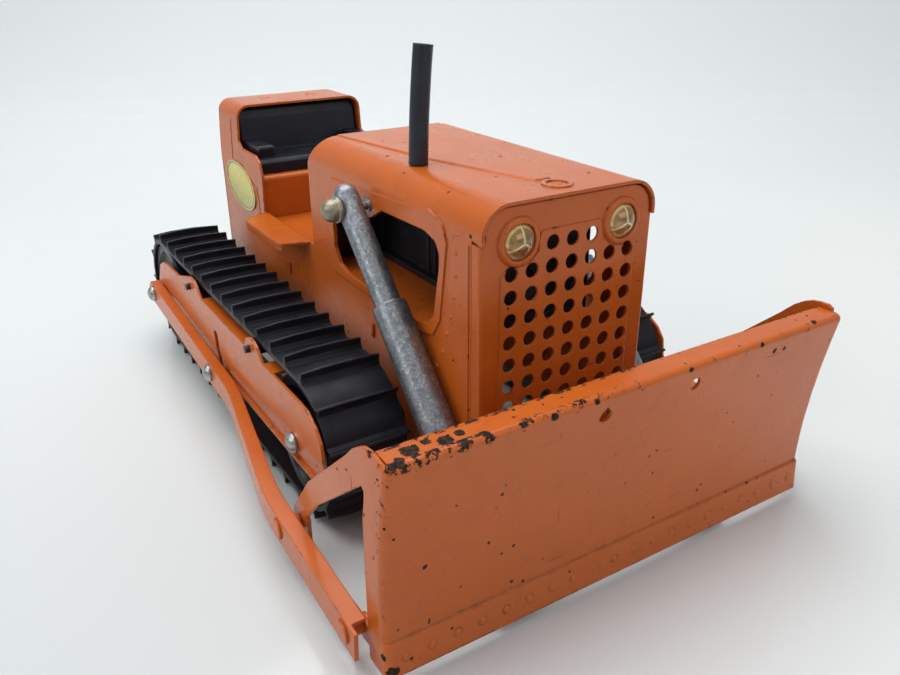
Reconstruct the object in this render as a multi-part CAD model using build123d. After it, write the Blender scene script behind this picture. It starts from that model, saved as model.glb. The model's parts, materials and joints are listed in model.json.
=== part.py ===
from build123d import *
import math
import os

os.makedirs("parts", exist_ok=True)

# Pressed-steel toy bulldozer.  Millimetres, +Z up.
# X = 0 is the plane of symmetry, +X the machine's left, and Z = 0 the ground.
# The blade faces -Y, the seat is at +Y.  Everything is drawn with Y = 0 at the
# outer face of the radiator grille and written out moved forward by ORIGIN_Y,
# which puts the origin on the ground under the middle of the whole machine.

# ---------------------------------------------------------- shared dimensions
ORIGIN_Y = 88.0        # middle of the machine's length, behind the grille
SHEET = 0.9            # body sheet thickness
BODY_HALF = 27.8       # outer half-width of the body
TOP_Z = 99.2           # top of the hood
BODY_BOTTOM = 17.0     # lower edge of the body sides
CORNER_R = 8.0         # rounded upper edges of the hood
REAR_Y = 195.5         # rear edge of the body sides
FLOOR_Z = 58.9         # top of the operator's floor
ON_FLOOR_Z = FLOOR_Z + 0.01

TAB_Y = (58.5, 126.0)  # tabs joining channel and body sides
TAB_HALF = 0.5
TAB_Z0, TAB_Z1 = 43.8, 48.2

AXLE_Z = 24.9
FRONT_AXLE_Y = 43.0
REAR_AXLE_Y = 184.4
AXLE_YS = (FRONT_AXLE_Y, REAR_AXLE_Y)
AXLE_R = 1.6
AXLE_CLEAR = 0.06
TRACK_X0, TRACK_X1 = 36.8, 60.9
PEG_YS = (75.0, 138.7)
PEG_Z = 42.0
PEG_PIN_R = 1.2

FRAME_X = 62.8         # outer face of the track side frames
FRAME_IN_X = FRAME_X - SHEET
ARM_SHEET = 1.0
ARM_SLOPE = 4.49       # degrees the arms run down towards the blade
ARM_REAR_X = 66.9      # outer face, rear straight
ARM_FRONT_X = 76.3     # outer face, front straight
GUIDE_DIST = 73.2      # rear pivot to guide rivet, along the arm
RIVET_DISTS = (160.9, 201.4)  # rear pivot to the two blade rivets, along the arm

PIN_Y, PIN_Z = 57.4, 86.5     # lift cylinder cross pin
PIN_R = 1.3
CYL_X = 34.0
CYL_ANGLE = 46.5              # degrees below horizontal
CYL_LEN = 98.7                # cross pin to lower pin
LOW_Y = PIN_Y - CYL_LEN * math.cos(math.radians(CYL_ANGLE))
LOW_Z = PIN_Z - CYL_LEN * math.sin(math.radians(CYL_ANGLE))

SIDES = (1, -1)        # left, right
BOTTOM_UP = (Align.CENTER, Align.CENTER, Align.MIN)


# ------------------------------------------------------------------- helpers
def polygon(points, radius=0.0):
    face = make_face(Polyline(*points, close=True))
    return fillet(face.vertices(), radius) if radius else face


def symmetric(points):
    """Close a half outline with its mirror image in the first coordinate."""
    return points + [(-a, b) for a, b in reversed(points)]


def xz_plane(y):
    return Plane(origin=(0, y, 0), x_dir=(1, 0, 0), z_dir=(0, -1, 0))


def yz(points, x0, x1, radius=0.0):
    """Polygon in (y, z), extruded between x0 and x1, given in either order."""
    x0, x1 = sorted((x0, x1))
    return extrude(Plane.YZ.offset(x0) * polygon(points, radius), amount=x1 - x0)


def xz(points, y0, y1, radius=0.0):
    """Polygon in (x, z), extruded from y0 to y1."""
    return extrude(xz_plane(y0) * polygon(points, radius), amount=-(y1 - y0))


def xy(points, z0, z1):
    """Polygon in (x, y), extruded from z0 to z1."""
    return extrude(Plane.XY.offset(z0) * polygon(points), amount=z1 - z0)


def cyl_x(radius, x0, x1, y, z):
    return Pos((x0 + x1) / 2, y, z) * Rot(0, 90, 0) * Cylinder(radius, abs(x1 - x0))


def cyl_y(radius, y0, y1, x, z):
    return Pos(x, (y0 + y1) / 2, z) * Rot(90, 0, 0) * Cylinder(radius, abs(y1 - y0))


def cyl_z(radius, z0, z1, x, y):
    return Pos(x, y, (z0 + z1) / 2) * Cylinder(radius, abs(z1 - z0))


def box(x0, x1, y0, y1, z0, z1):
    """Box between limits; x0 and x1 may come in either order."""
    middle = Pos((x0 + x1) / 2, (y0 + y1) / 2, (z0 + z1) / 2)
    return middle * Box(abs(x1 - x0), y1 - y0, z1 - z0)


def flip(part):
    return mirror(part, about=Plane.YZ)


def ball_bump(point, radius, height, axis):
    """Low spherical cap on a disc centred on point, crown along axis."""
    ball_r = (radius ** 2 + height ** 2) / (2 * height)
    mid_r = math.sqrt(ball_r ** 2 - (ball_r - height / 2) ** 2)
    profile = make_face([
        Line((0, -0.25), (radius, -0.25)),
        Line((radius, -0.25), (radius, 0)),
        ThreePointArc((radius, 0), (mid_r, height / 2), (0, height)),
        Line((0, height), (0, -0.25)),
    ])
    return Plane(origin=point, z_dir=axis).location * revolve(Plane.XZ * profile, Axis.Z)


def dome_head(x0, x1, radius, y, z):
    """Domed fastener head on a pin along X, seat at x0, crown at x1."""
    direction = 1 if x1 > x0 else -1
    height = abs(x1 - x0)
    edge = 0.28 * height       # straight edge below the dome
    ball_r = (radius ** 2 + (height - edge) ** 2) / (2 * (height - edge))
    mid_h = edge + (height - edge) * 0.6
    mid_r = math.sqrt(ball_r ** 2 - (ball_r - height + mid_h) ** 2)
    profile = make_face([
        Line((0, 0), (radius, 0)),
        Line((radius, 0), (radius, edge)),
        ThreePointArc((radius, edge), (mid_r, mid_h), (0, height)),
        Line((0, height), (0, 0)),
    ])
    return Pos(x0, y, z) * Rot(0, 90 * direction, 0) * revolve(Plane.XZ * profile, Axis.Z)


def arched_block(flank, radius, y0, y1):
    """Block along Y with rounded upper corners.

    flank lists (x, z) up the +X side, from the bottom to where the corner starts.
    """
    half, spring = flank[-1]
    top = spring + radius
    diagonal = radius * 0.70710678
    mid_x, mid_z = half - radius + diagonal, spring + diagonal
    other = [(-x, z) for x, z in reversed(flank)]
    edges = [Line(other[-1], flank[0])]
    edges += [Line(a, b) for a, b in zip(flank, flank[1:])]
    edges += [
        ThreePointArc((half, spring), (mid_x, mid_z), (half - radius, top)),
        Line((half - radius, top), (-half + radius, top)),
        ThreePointArc((-half + radius, top), (-mid_x, mid_z), (-half, spring)),
    ]
    edges += [Line(a, b) for a, b in zip(other, other[1:])]
    return extrude(xz_plane(y0) * make_face(edges), amount=-(y1 - y0))


def u_block(half, top, radius, bottom, y0, y1):
    return arched_block([(half, bottom), (half, top - radius)], radius, y0, y1)


def out(part, name):
    export_step(Pos(0, -ORIGIN_Y, 0) * part, "parts/" + name + ".step")


def out_group(solids, name):
    """Write several separate solids as one group."""
    moved = [Pos(0, -ORIGIN_Y, 0) * solid for solid in solids]
    export_step(Compound(children=moved), "parts/" + name + ".step")


def out_pair(part, name):
    """Write a part drawn on the left (+X) and its mirror image."""
    out(part, name + "_left")
    out(flip(part), name + "_right")


# ---------------------------------------------------------------- body shell
LIP_Y = -0.8           # hood lip in front of the grille
MID_Y = 125.0          # where the hood section gives way to the seat section
HOOD_END_TOP = 96.0
HOOD_END_SIDE = 102.0
STEP_Z = 62.0          # top of the running-board steps
SEAT_HALF = 27.0       # half-width of the seat back near its top
SEAT_LEAN_Z = 78.0     # where its sides start to lean inwards
SEAT_TOP = 99.0
SEAT_R = 5.2
STACK_X, STACK_Y = -18.1, 45.3

# Side view of the body (y, z)
SILHOUETTE = [
    (3.7, BODY_BOTTOM), (3.7, 90.1), (LIP_Y, 89.3), (LIP_Y, 101), (HOOD_END_TOP, 101),
    (HOOD_END_TOP, TOP_Z - 0.2), (HOOD_END_SIDE, 90.5), (HOOD_END_SIDE, STEP_Z),
    (149.6, STEP_Z), (148.8, 76.0), (150.6, 80.8), (154.9, 82.8), (170.6, 83.1),
    (173.7, 85.2), (173.7, 101), (REAR_Y, 101), (REAR_Y, 24.0), (189.0, BODY_BOTTOM),
]
# Side window and the raised field round it (y, z)
WINDOW = [
    (18.0, 82.5), (20.0, 85.6), (25.5, 87.1), (49.5, 86.6), (56.5, 82.8), (61.0, 82.8),
    (66.0, 85.6), (80.5, 83.0), (83.6, 76.0), (83.4, 66.0), (80.5, 61.6), (75.0, 60.0),
    (30.5, 59.7), (24.5, 60.9), (21.2, 64.5), (18.2, 79.0),
]
WINDOW_RIM = [
    (14.6, 86.5), (16.6, 91.0), (23.5, 93.2), (30, 92.0), (84.5, 89.0), (88.2, 78),
    (87.6, 62.5), (84.0, 57.6), (29.0, 56.9), (22.0, 58.4), (18.2, 64.0),
]
# Raised panel beside the grille and its column of dots (y, z)
SIDE_PANEL = [
    (4.6, 88.6), (8.5, 89.9), (11.4, 89.2), (12.9, 86.6), (13.6, 78.0), (16.0, 66.0),
    (19.5, 54.0), (24.5, 42.0), (31.5, 26.0), (33.0, 20.0), (4.6, 20.0),
]
SIDE_DOTS = [
    (10.05, 85.4), (10.3, 79.3), (11.1, 73.2), (12.7, 67.2), (14.5, 61.7), (16.8, 55.5),
    (19.7, 50.0),
]
# Groove parallel to the front edge of the seat side (y, z)
SEAT_GROOVE = [
    (180.7, 75.6), (178.4, 72.6), (160.0, 72.2), (155.6, 70.4), (154.2, 66.4),
    (153.4, 50.0), (154.2, 50.0), (155.1, 66.2), (156.3, 69.6), (160.2, 71.3),
    (178.9, 71.7), (181.6, 75.0),
]
# Step and its turned-down edge, left side (x, y)
STEP_PLAN = [
    (27.4, 149.2), (28.6, 149.2), (36.6, 144.4), (37.6, 142.6), (37.6, 110.6),
    (36.6, 108.9), (28.6, 105.6), (27.4, 105.6),
]
STEP_LIP_PLAN = [
    (36.4, 143.9), (37.8, 142.2), (37.8, 111.0), (36.4, 109.4), (36.4, 112),
    (36.9, 112), (36.9, 141), (36.4, 141),
]
RIDGE_REAR_Y = 95.6


def seat_block(inset, bottom, y0, y1):
    """Block with the outline of the seat back, inset all round."""
    radius = SEAT_R - inset
    flank = [(BODY_HALF - inset, bottom), (BODY_HALF - inset, SEAT_LEAN_Z),
             (SEAT_HALF - inset, SEAT_TOP - inset - radius)]
    return arched_block(flank, radius, y0, y1)


shell = u_block(BODY_HALF, TOP_Z, CORNER_R, BODY_BOTTOM, LIP_Y, MID_Y)
shell -= u_block(BODY_HALF - SHEET, TOP_Z - SHEET, CORNER_R - SHEET, BODY_BOTTOM - 1,
                 LIP_Y - 1, MID_Y + 1)
shell += (seat_block(0, BODY_BOTTOM, MID_Y, REAR_Y)
          - seat_block(SHEET, BODY_BOTTOM - 1, MID_Y - 1, REAR_Y + 1))
shell &= yz(SILHOUETTE, -40, 40)
# upper rear wall of the seat back, closing it above the rear panel
shell += (seat_block(0, 60.0, REAR_Y - 0.01, REAR_Y + SHEET)
          & box(-40, 40, REAR_Y - 1, REAR_Y + 2, 89.4, 110))

# pressed shapes on the sides
for side in SIDES:
    shell += yz(WINDOW_RIM, side * (BODY_HALF - 0.3), side * (BODY_HALF + 0.45), 1.6)
    shell += yz(SIDE_PANEL, side * (BODY_HALF - 0.3), side * (BODY_HALF + 0.3))
    for y, z in SIDE_DOTS:
        shell += ball_bump((side * (BODY_HALF + 0.28), y, z), 0.75, 0.35, (side, 0, 0))
    groove_x = side * (BODY_HALF - 0.25)
    # the groove carries on up the leaning side of the seat back
    upper_groove = xz([(groove_x, 74.5), (groove_x, SEAT_LEAN_Z),
                       (side * (SEAT_HALF - 0.2), 93.0), (side * (SEAT_HALF + 3), 93.0),
                       (side * (BODY_HALF + 3), 74.5)], 181.0, 181.9)
    shell -= yz(SEAT_GROOVE, groove_x, side * (BODY_HALF + 0.5))
    shell -= upper_groove

for side in SIDES:
    shell -= yz(WINDOW, side * (BODY_HALF - 3), side * (BODY_HALF + 3), 1.2)

# pin holes, axle holes, tab slots
shell -= cyl_x(1.9, -40, 40, PIN_Y, PIN_Z)
for y in AXLE_YS:
    shell -= cyl_x(AXLE_R, -40, 40, y, AXLE_Z)
for y in TAB_Y:
    shell -= box(-40, 40, y - TAB_HALF - 0.15, y + TAB_HALF + 0.15, TAB_Z0 - 0.2, TAB_Z1 + 0.2)

# raised panel on the hood top that widens towards the rear
ridge = xy(symmetric([(2.4, 12.5), (12.6, 50.0), (19.6, RIDGE_REAR_Y)]),
           TOP_Z - 0.3, TOP_Z + 0.4)
ridge_edges = ridge.faces().sort_by(Axis.Z)[-1].edges().filter_by(
    lambda e: abs(e.center().Y - RIDGE_REAR_Y) > 0.5)
shell += chamfer(ridge_edges, 0.35)
# raised ring with a small bump inside, at the front of the hood
RING_X, RING_Y = 0.6, 7.3
shell += (cyl_z(4.2, TOP_Z - 0.3, TOP_Z + 0.35, RING_X, RING_Y)
          - cyl_z(2.9, TOP_Z - 0.2, TOP_Z + 1, RING_X, RING_Y))
shell += ball_bump((RING_X, RING_Y, TOP_Z - 0.05), 1.7, 0.4, (0, 0, 1))
# hole for the exhaust stack, dimples on top of the seat back
shell -= cyl_z(2.05, 90, 110, STACK_X, STACK_Y)
for x in (-9.9, 9.9):
    shell -= Pos(x, 186.6, SEAT_TOP + 3.0) * Sphere(3.7)
    shell += cyl_z(2.6, SEAT_TOP - SHEET - 0.3, SEAT_TOP - SHEET + 0.3, x, 186.6)

# steps bent outwards from the sides
for side in SIDES:
    step = xy(STEP_PLAN, STEP_Z - SHEET, STEP_Z) + xy(STEP_LIP_PLAN, STEP_Z - 3.0, STEP_Z - 0.25)
    shell += step if side > 0 else flip(step)
out(shell.clean(), "body_shell")

# ---------------------------------------------------------------- rear panel
rear = xz(symmetric([(BODY_HALF, 26), (BODY_HALF, SEAT_LEAN_Z), (27.25, 89.1)]),
          REAR_Y + 0.3, REAR_Y + SHEET + 0.1)
# side and lower flanges reaching forward
for side in SIDES:
    rear += box(side * 25.85, side * 26.75, REAR_Y - 9, REAR_Y + 0.5, 61.0, 77.5)
rear += box(-20, 20, REAR_Y - 9, REAR_Y + 0.5, 57.0, 57.9)
# raised rounded field
rear += xz([(-17, 40), (17, 40), (17, 76), (-17, 76)],
           REAR_Y + SHEET - 0.05, REAR_Y + SHEET + 0.35, 4.0)
out(rear, "rear_panel")

# ----------------------------------------------------------- chassis channel
CHANNEL_HALF = BODY_HALF - SHEET - 0.06
CHANNEL_BOTTOM = 33.0
channel = xz(symmetric([(CHANNEL_HALF, FLOOR_Z), (CHANNEL_HALF, CHANNEL_BOTTOM),
                        (CHANNEL_HALF - SHEET, CHANNEL_BOTTOM),
                        (CHANNEL_HALF - SHEET, FLOOR_Z - SHEET)]), 12.0, 185.4)
channel = fillet(channel.edges().filter_by(Axis.Y).filter_by(
    lambda e: e.center().Z > FLOOR_Z - 0.1), 1.0)
for side in SIDES:
    for y in TAB_Y:
        channel += box(side * 26.5, side * 28.5, y - TAB_HALF, y + TAB_HALF, TAB_Z0, TAB_Z1)
# stiffening ribs across the channel top
for y in (112.0, 128.0):
    channel += xz(symmetric([(16, FLOOR_Z - 0.2), (15.4, FLOOR_Z + 0.35)]), y - 1.0, y + 1.0)
out(channel, "chassis_channel")

# ---------------------------------------------------------------- seat panel
# upright panel under the seat, its rounded top edge turned back as a shelf
SHELF_Z = 75.3
PANEL_Y = 150.7        # front face
PANEL_BOTTOM = FLOOR_Z + 0.02
panel = yz([(PANEL_Y, PANEL_BOTTOM), (PANEL_Y + SHEET, PANEL_BOTTOM),
            (PANEL_Y + SHEET, SHELF_Z - SHEET), (166.0, SHELF_Z - SHEET),
            (166.0, SHELF_Z), (PANEL_Y, SHELF_Z)], -26.8, 26.8)
panel = fillet(panel.edges().filter_by(Axis.X).filter_by(
    lambda e: abs(e.center().Y - PANEL_Y) < 0.05 and e.center().Z > SHELF_Z - 0.1), 1.8)
for side in SIDES:
    panel += box(side * 25.9, side * 26.8, 151.0, 160.0, PANEL_BOTTOM, SHELF_Z - 0.6)
out(panel, "seat_panel")

# ---------------------------------------------------------------------- seat
CUSHION_HALF = 25.2
ARMREST_TOP = 85.6
SEAT_PROFILE = [       # (y, z)
    (154.6, SHELF_Z + 0.02), (154.4, 79.4), (155.8, 80.7), (165.0, 80.9), (174.6, 80.2),
    (176.4, 93.6), (177.4, 96.4), (179.6, 97.5), (186.0, 97.4), (188.2, 95.8),
    (188.2, SHELF_Z + 0.02),
]
ARMREST_PROFILE = [    # (y, z)
    (157.4, SHELF_Z + 0.3), (157.2, ARMREST_TOP - 0.9), (158.2, ARMREST_TOP),
    (178.0, ARMREST_TOP - 0.3), (178.0, SHELF_Z + 0.3),
]
seat = yz(SEAT_PROFILE, -CUSHION_HALF, CUSHION_HALF)
seat &= box(-40, 40, 150, 200, 71, 88) + u_block(CUSHION_HALF, 98.0, 4.6, 60, 150, 200)
for side in SIDES:
    armrest = yz(ARMREST_PROFILE, side * 18.4, side * 25.0)
    seat += fillet(armrest.edges().filter_by(
        lambda e: e.center().Z > ARMREST_TOP - 0.6 and 160.0 < e.center().Y < 176.0), 0.8)
# hollow behind the back cushion
seat -= box(-CUSHION_HALF + 2.2, CUSHION_HALF - 2.2, 181.0, 200, SHELF_Z + 2, 92.5)
out(seat, "seat")

# ---------------------------------------------------------------- side badge
# oval plate with a raised rim on the right side of the body
BADGE_Y, BADGE_Z = 174.4, 67.6
BADGE_RY, BADGE_RZ = 16.6, 9.0
BADGE_RIM = 0.8
oval = Ellipse(BADGE_RY, BADGE_RZ)
rim = oval - Ellipse(BADGE_RY - BADGE_RIM, BADGE_RZ - BADGE_RIM)
badge = extrude(Plane.YZ.offset(-BODY_HALF - 0.30) * (Pos(BADGE_Y, BADGE_Z) * oval), amount=0.27)
badge += extrude(Plane.YZ.offset(-BODY_HALF - 0.45) * (Pos(BADGE_Y, BADGE_Z) * rim), amount=0.3)
out(badge.rotate(Axis((0, BADGE_Y, BADGE_Z), (1, 0, 0)), 10.0), "side_badge")

# -------------------------------------------------------------- grille plate
HOLE_PITCH = 6.35
ROW_PITCH = 6.22
HOLE_R = 2.0
TOP_ROW_Z = 87.0
LAMP_X = 16.6
LAMP_Z = 88.9
GRILLE_BOTTOM = BODY_BOTTOM + 1.5
GRILLE_SIDE_TOP = 89.2
GRILLE_CAP_HALF = 26.4
# Left halves of the raised field, stepped in around the lamps, and its hollow (x, z)
FIELD_HALF = [(-21.9, 24.0), (-21.9, 80.6), (-20.4, 82.0), (-13.2, 82.6), (-10.4, 85.4),
              (-10.0, 89.6), (-9.2, 90.6)]
HOLLOW_HALF = [(-21.3, 24.6), (-21.3, 80.2), (-9.6, 83.0), (-9.2, 90.0)]

grille = xz(symmetric([(BODY_HALF, GRILLE_BOTTOM), (BODY_HALF, GRILLE_SIDE_TOP),
                       (GRILLE_CAP_HALF, GRILLE_SIDE_TOP), (GRILLE_CAP_HALF, 90.5)]), 0, SHEET)
grille += u_block(GRILLE_CAP_HALF, TOP_Z - SHEET - 0.45, CORNER_R - SHEET - 0.3, 88.0, 0, SHEET)
for side in SIDES:
    grille += box(side * 26.9, side * BODY_HALF, 0.0, 3.62, GRILLE_BOTTOM, GRILLE_SIDE_TOP)
    grille += box(side * 25.9, side * 26.82, 0.5, 11.5, 60.2, 84.0)
    grille += box(side * 25.9, side * 27.2, 0.4, 3.62, 60.2, 84.0)
grille = fillet(grille.edges().filter_by(Axis.Z).filter_by(
    lambda e: abs(abs(e.center().X) - BODY_HALF) < 0.01 and abs(e.center().Y) < 0.01), 1.1)
grille += xz(symmetric(FIELD_HALF), -0.35, 0.2, 0.5)
grille -= xz(symmetric(HOLLOW_HALF), 0.35, SHEET + 0.2)
for side in SIDES:
    boss = revolve(Plane.XZ * make_face([
        Line((0, -0.2), (6.4, -0.2)),
        Line((6.4, -0.2), (6.4, 0.0)),
        ThreePointArc((6.4, 0.0), (6.0, 0.75), (5.4, 1.05)),
        Line((5.4, 1.05), (0, 1.05)),
        Line((0, 1.05), (0, -0.2)),
    ]), Axis.Z)
    grille += Pos(side * LAMP_X, 0, LAMP_Z) * Rot(90, 0, 0) * boss
    grille -= cyl_y(4.75, -3, 0.3, side * LAMP_X, LAMP_Z)
    grille -= cyl_y(1.5, -3, 3, side * LAMP_X, LAMP_Z)
# ten rows of seven holes; the top row has only three, between the lamps
holes = []
for row in range(10):
    for column in (2, 3, 4) if row == 0 else range(7):
        holes.append(cyl_y(HOLE_R, -2, 3, (column - 3) * HOLE_PITCH + 0.4,
                           TOP_ROW_Z - row * ROW_PITCH))
grille -= holes
out(grille.clean(), "grille_plate")

# ---------------------------------------------------------------- head lamps
LENS_H = 3.0
LENS_BALL_R = 5.8
lamps = []
for side in SIDES:
    lens = (Cylinder(4.65, LENS_H, align=BOTTOM_UP)
            & (Pos(0, 0, LENS_H - LENS_BALL_R) * Sphere(LENS_BALL_R)))
    # three facets meeting in the middle
    for k in range(3):
        lens -= (Rot(0, 0, 90 + 120 * k) * Pos(3.2, 0, LENS_H + 0.15) * Rot(0, 16, 0)
                 * Box(4.6, 5.2, 1.0))
    # stem through the grille and its head behind
    lens += cyl_z(1.45, -2.4, 0.1, 0, 0)
    lens += cyl_z(2.3, -2.5, -1.25, 0, 0)
    lamps.append(Pos(side * LAMP_X, 0.3 - 0.01, LAMP_Z) * Rot(90, 0, 0) * lens)
out_group(lamps, "head_lamps")

# ------------------------------------------------------------- exhaust stack
STACK_R = 2.75
stack_foot = (STACK_X, STACK_Y, TOP_Z + 0.2)
stack_path = ThreePointArc(stack_foot, (STACK_X + 0.75, STACK_Y, 115.0),
                           (STACK_X + 2.2, STACK_Y, 131.0))
stack = sweep(Plane(origin=stack_foot, z_dir=stack_path % 0) * Circle(STACK_R), path=stack_path)
# bore at the tip
stack -= (Plane(origin=stack_path @ 1, z_dir=stack_path % 1).location
          * Pos(0, 0, -3.0) * Cylinder(1.95, 8.0))
# spigot through the hood and the collar under it
stack += cyl_z(1.98, TOP_Z - 4.5, TOP_Z + 0.5, STACK_X, STACK_Y)
stack += (cyl_z(2.8, TOP_Z - 4.5, TOP_Z - SHEET - 0.25, STACK_X, STACK_Y)
          - cyl_z(1.9, TOP_Z - 5, TOP_Z, STACK_X, STACK_Y))
out(stack, "exhaust_stack")

# -------------------------------------------------------------------- engine
engine = box(-6.2, 6.2, 13.0, 94.0, ON_FLOOR_Z, 78.0)
engine = fillet(engine.edges().filter_by(Axis.Z), 1.2)
engine += box(-4.6, 4.6, 30.0, 93.0, 77.5, 84.5)
engine += box(-9.4, 9.4, 32.0, 95.0, ON_FLOOR_Z, FLOOR_Z + 1.8)
# fins round the block
for i in range(7):
    y = 35.0 + i * 4.1
    engine += box(-7.0, 7.0, y, y + 1.1, FLOOR_Z + 1.0, 78.6)
# studs on the top and sides of the upper block
for i in range(6):
    y = 41.5 + i * 9.0
    engine += (cyl_z(1.9, 84.0, 84.95, 0, y) + cyl_x(1.3, -7.6, -4.0, y, 81.6)
               + cyl_x(1.3, 4.0, 7.6, y, 81.6))
# radiator shroud in front, with a fan ring, hub and blades facing the grille
FAN_Z = 73.5
shroud = xz(symmetric([(17.0, ON_FLOOR_Z), (17.0, 86.0), (15.0, 88.0)]), 11.8, 13.4)
shroud += cyl_y(12.6, 10.8, 12.2, 0, FAN_Z) - cyl_y(11.4, 10.0, 12.0, 0, FAN_Z)
shroud += cyl_y(2.6, 9.8, 12.0, 0, FAN_Z)
for k in range(4):
    shroud += (Pos(0, 11.3, FAN_Z) * Rot(0, 45 + 90 * k, 0) * Pos(6.0, 0, 0)
               * Rot(24, 0, 0) * Box(9.6, 0.7, 2.6))
engine += shroud
# bulkhead under the rear of the hood
engine += xz(symmetric([(24.8, ON_FLOOR_Z), (24.8, 90.0), (20.0, 95.4)]), 92.0, 93.4)
out(engine, "engine_block")

# ----------------------------------------------------------------- push arms
ARM_HALF_H = 8.3 / 2
ARM_FRONT_Y, ARM_REAR_Y = -23.0, 191.2
BEND_REAR_Y, BEND_FRONT_Y = 91.0, 34.0
BEND_R = 90.0


def arm_point(distance, degrees=ARM_SLOPE):
    """(y, z) at a distance in front of the rear axle, on a line sloping down forward."""
    angle = math.radians(degrees)
    return (REAR_AXLE_Y - distance * math.cos(angle), AXLE_Z - distance * math.sin(angle))


def arm_plan(outer_inset, front_inset, rear_inset, y_front=ARM_FRONT_Y):
    """Plan of an arm; insets of its two edges are measured from the outer face."""
    outer_edge = [(ARM_REAR_X - outer_inset, ARM_REAR_Y), (ARM_REAR_X - outer_inset, BEND_REAR_Y),
                  (ARM_FRONT_X - outer_inset, BEND_FRONT_Y), (ARM_FRONT_X - outer_inset, y_front)]
    inner_edge = [(ARM_FRONT_X - front_inset, y_front), (ARM_FRONT_X - front_inset, BEND_FRONT_Y),
                  (ARM_REAR_X - rear_inset, BEND_REAR_Y), (ARM_REAR_X - rear_inset, ARM_REAR_Y)]
    face = polygon(outer_edge + inner_edge)
    bends = [v for v in face.vertices()
             if abs(v.Y - BEND_REAR_Y) < 0.1 or abs(v.Y - BEND_FRONT_Y) < 0.1]
    return fillet(bends, BEND_R)


arm_bottom, arm_top = AXLE_Z - ARM_HALF_H, AXLE_Z + ARM_HALF_H
web = extrude(Plane.XY.offset(arm_bottom) * arm_plan(0, ARM_SHEET, ARM_SHEET),
              amount=2 * ARM_HALF_H)
flange = extrude(Plane.XY.offset(arm_top - ARM_SHEET) * arm_plan(0.2, 4.6, 3.75, y_front=-19.6),
                 amount=ARM_SHEET)
arm = web + flange
# bevel the rear end
arm &= yz([(ARM_FRONT_Y - 1, AXLE_Z - 20), (ARM_REAR_Y - 3.2, AXLE_Z - 20),
           (ARM_REAR_Y - 3.2, arm_bottom), (ARM_REAR_Y, arm_bottom + 3.2),
           (ARM_REAR_Y, arm_top - 3.6), (ARM_REAR_Y - 3.6, arm_top),
           (ARM_REAR_Y - 3.6, AXLE_Z + 20), (ARM_FRONT_Y - 1, AXLE_Z + 20)], 50, 90)
arm = arm.clean()
arm -= cyl_x(AXLE_R + AXLE_CLEAR, 50, 90, REAR_AXLE_Y, AXLE_Z)
arm -= cyl_x(1.75, 50, 90, REAR_AXLE_Y - GUIDE_DIST, AXLE_Z)
for distance in RIVET_DISTS:
    arm -= cyl_x(1.5, 70, 90, REAR_AXLE_Y - distance, AXLE_Z)
# drawn level, then tilted down towards the blade about the rear axle
arm = arm.rotate(Axis((0, REAR_AXLE_Y, AXLE_Z), (1, 0, 0)), ARM_SLOPE)
out_pair(arm, "push_arm")

# --------------------------------------------------------------------- blade
BLADE_HALF = 71.8
BLADE_T = 1.0
BLADE_TOP = 61.4
BLADE_BOTTOM = 2.2
BLADE_IN_HALF = BLADE_HALF - BLADE_T
BLADE_IN_TOP = BLADE_TOP - BLADE_T
LEFT_PLATE_RISE = 0.9  # upper part of the left end plate above the right one

rivet_points = [arm_point(distance) for distance in RIVET_DISTS]
tip_y, tip_z = rivet_points[1]

# Front face of the blade, top to bottom (y, z)
BLADE_FACE = [
    (-33.6, BLADE_TOP), (-31.9, 52.5), (-30.45, 44.0), (-29.25, 35.0), (-28.4, 26.0),
    (-28.0, 17.6), (-27.95, 11.9), (-28.6, 11.3), (-29.4, BLADE_BOTTOM),
]
# End plate: strip, tab at the foremost rivet, top corner, diagonal brace (y, z)
END_PLATE = [
    (-25.0, BLADE_BOTTOM), (-20.7, BLADE_BOTTOM), (-20.7, tip_z - 3.2),
    (tip_y + 5.5, tip_z - 3.2), (tip_y + 5.5, tip_z + 2.6), (-20.7, tip_z + 2.6),
    (-20.7, 25.2), (-21.1, 42.9), (-22.3, 48.4), (-22.4, 50.2), (-21.4, 51.0), (6.6, 28.4),
    (9.8, 34.0), (-14.1, 54.6), (-18.0, 58.4), (-20.8, 60.3), (-23.0, 61.3), (-25.8, 61.8),
    (-28.4, 61.8), (-29.9, 61.0), (-30.0, 56.0), (-27.2, 40.0), (-26.2, 30.0), (-25.2, 12.0),
]
# Foot of the brace, leaning inwards past the arm (y, z)
BRACE_FOOT = [
    (6.6, 28.4), (16.4, 18.6), (17.6, 8.0), (29.6, 8.0), (29.6, 13.0), (24.6, 18.6), (9.8, 34.0),
]

# curved pressed sheet with returned top flange and end plates
outer = yz(BLADE_FACE + [(-20.9, BLADE_BOTTOM), (-20.7, 25.2), (-24.6, BLADE_TOP)],
           -BLADE_HALF, BLADE_HALF)
side_edges = [e for e in outer.edges()
              if abs(abs(e.center().X) - BLADE_HALF) < 0.01 and e.center().Y < -26.5
              and BLADE_BOTTOM + 0.5 < e.center().Z < BLADE_TOP - 1]
outer = fillet(side_edges, 2.2)
top_edge = [e for e in outer.edges()
            if abs(e.center().Z - BLADE_TOP) < 0.02 and e.center().Y < -33.0 and e.length > 50]
outer = fillet(top_edge, 1.5)
back_of_face = [(y + BLADE_T, z) for y, z in BLADE_FACE[1:-1]]
inner = yz([(-32.7, BLADE_IN_TOP)] + back_of_face + [(-28.6, 0.0), (0, 0), (0, BLADE_IN_TOP)],
           -BLADE_IN_HALF, BLADE_IN_HALF)
inner_edges = [e for e in inner.edges()
               if abs(abs(e.center().X) - BLADE_IN_HALF) < 0.01 and e.center().Y < -20
               and 1.0 < e.center().Z < BLADE_TOP - 1.5]
inner = fillet(inner_edges, 1.3)
blade = outer - inner
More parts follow.
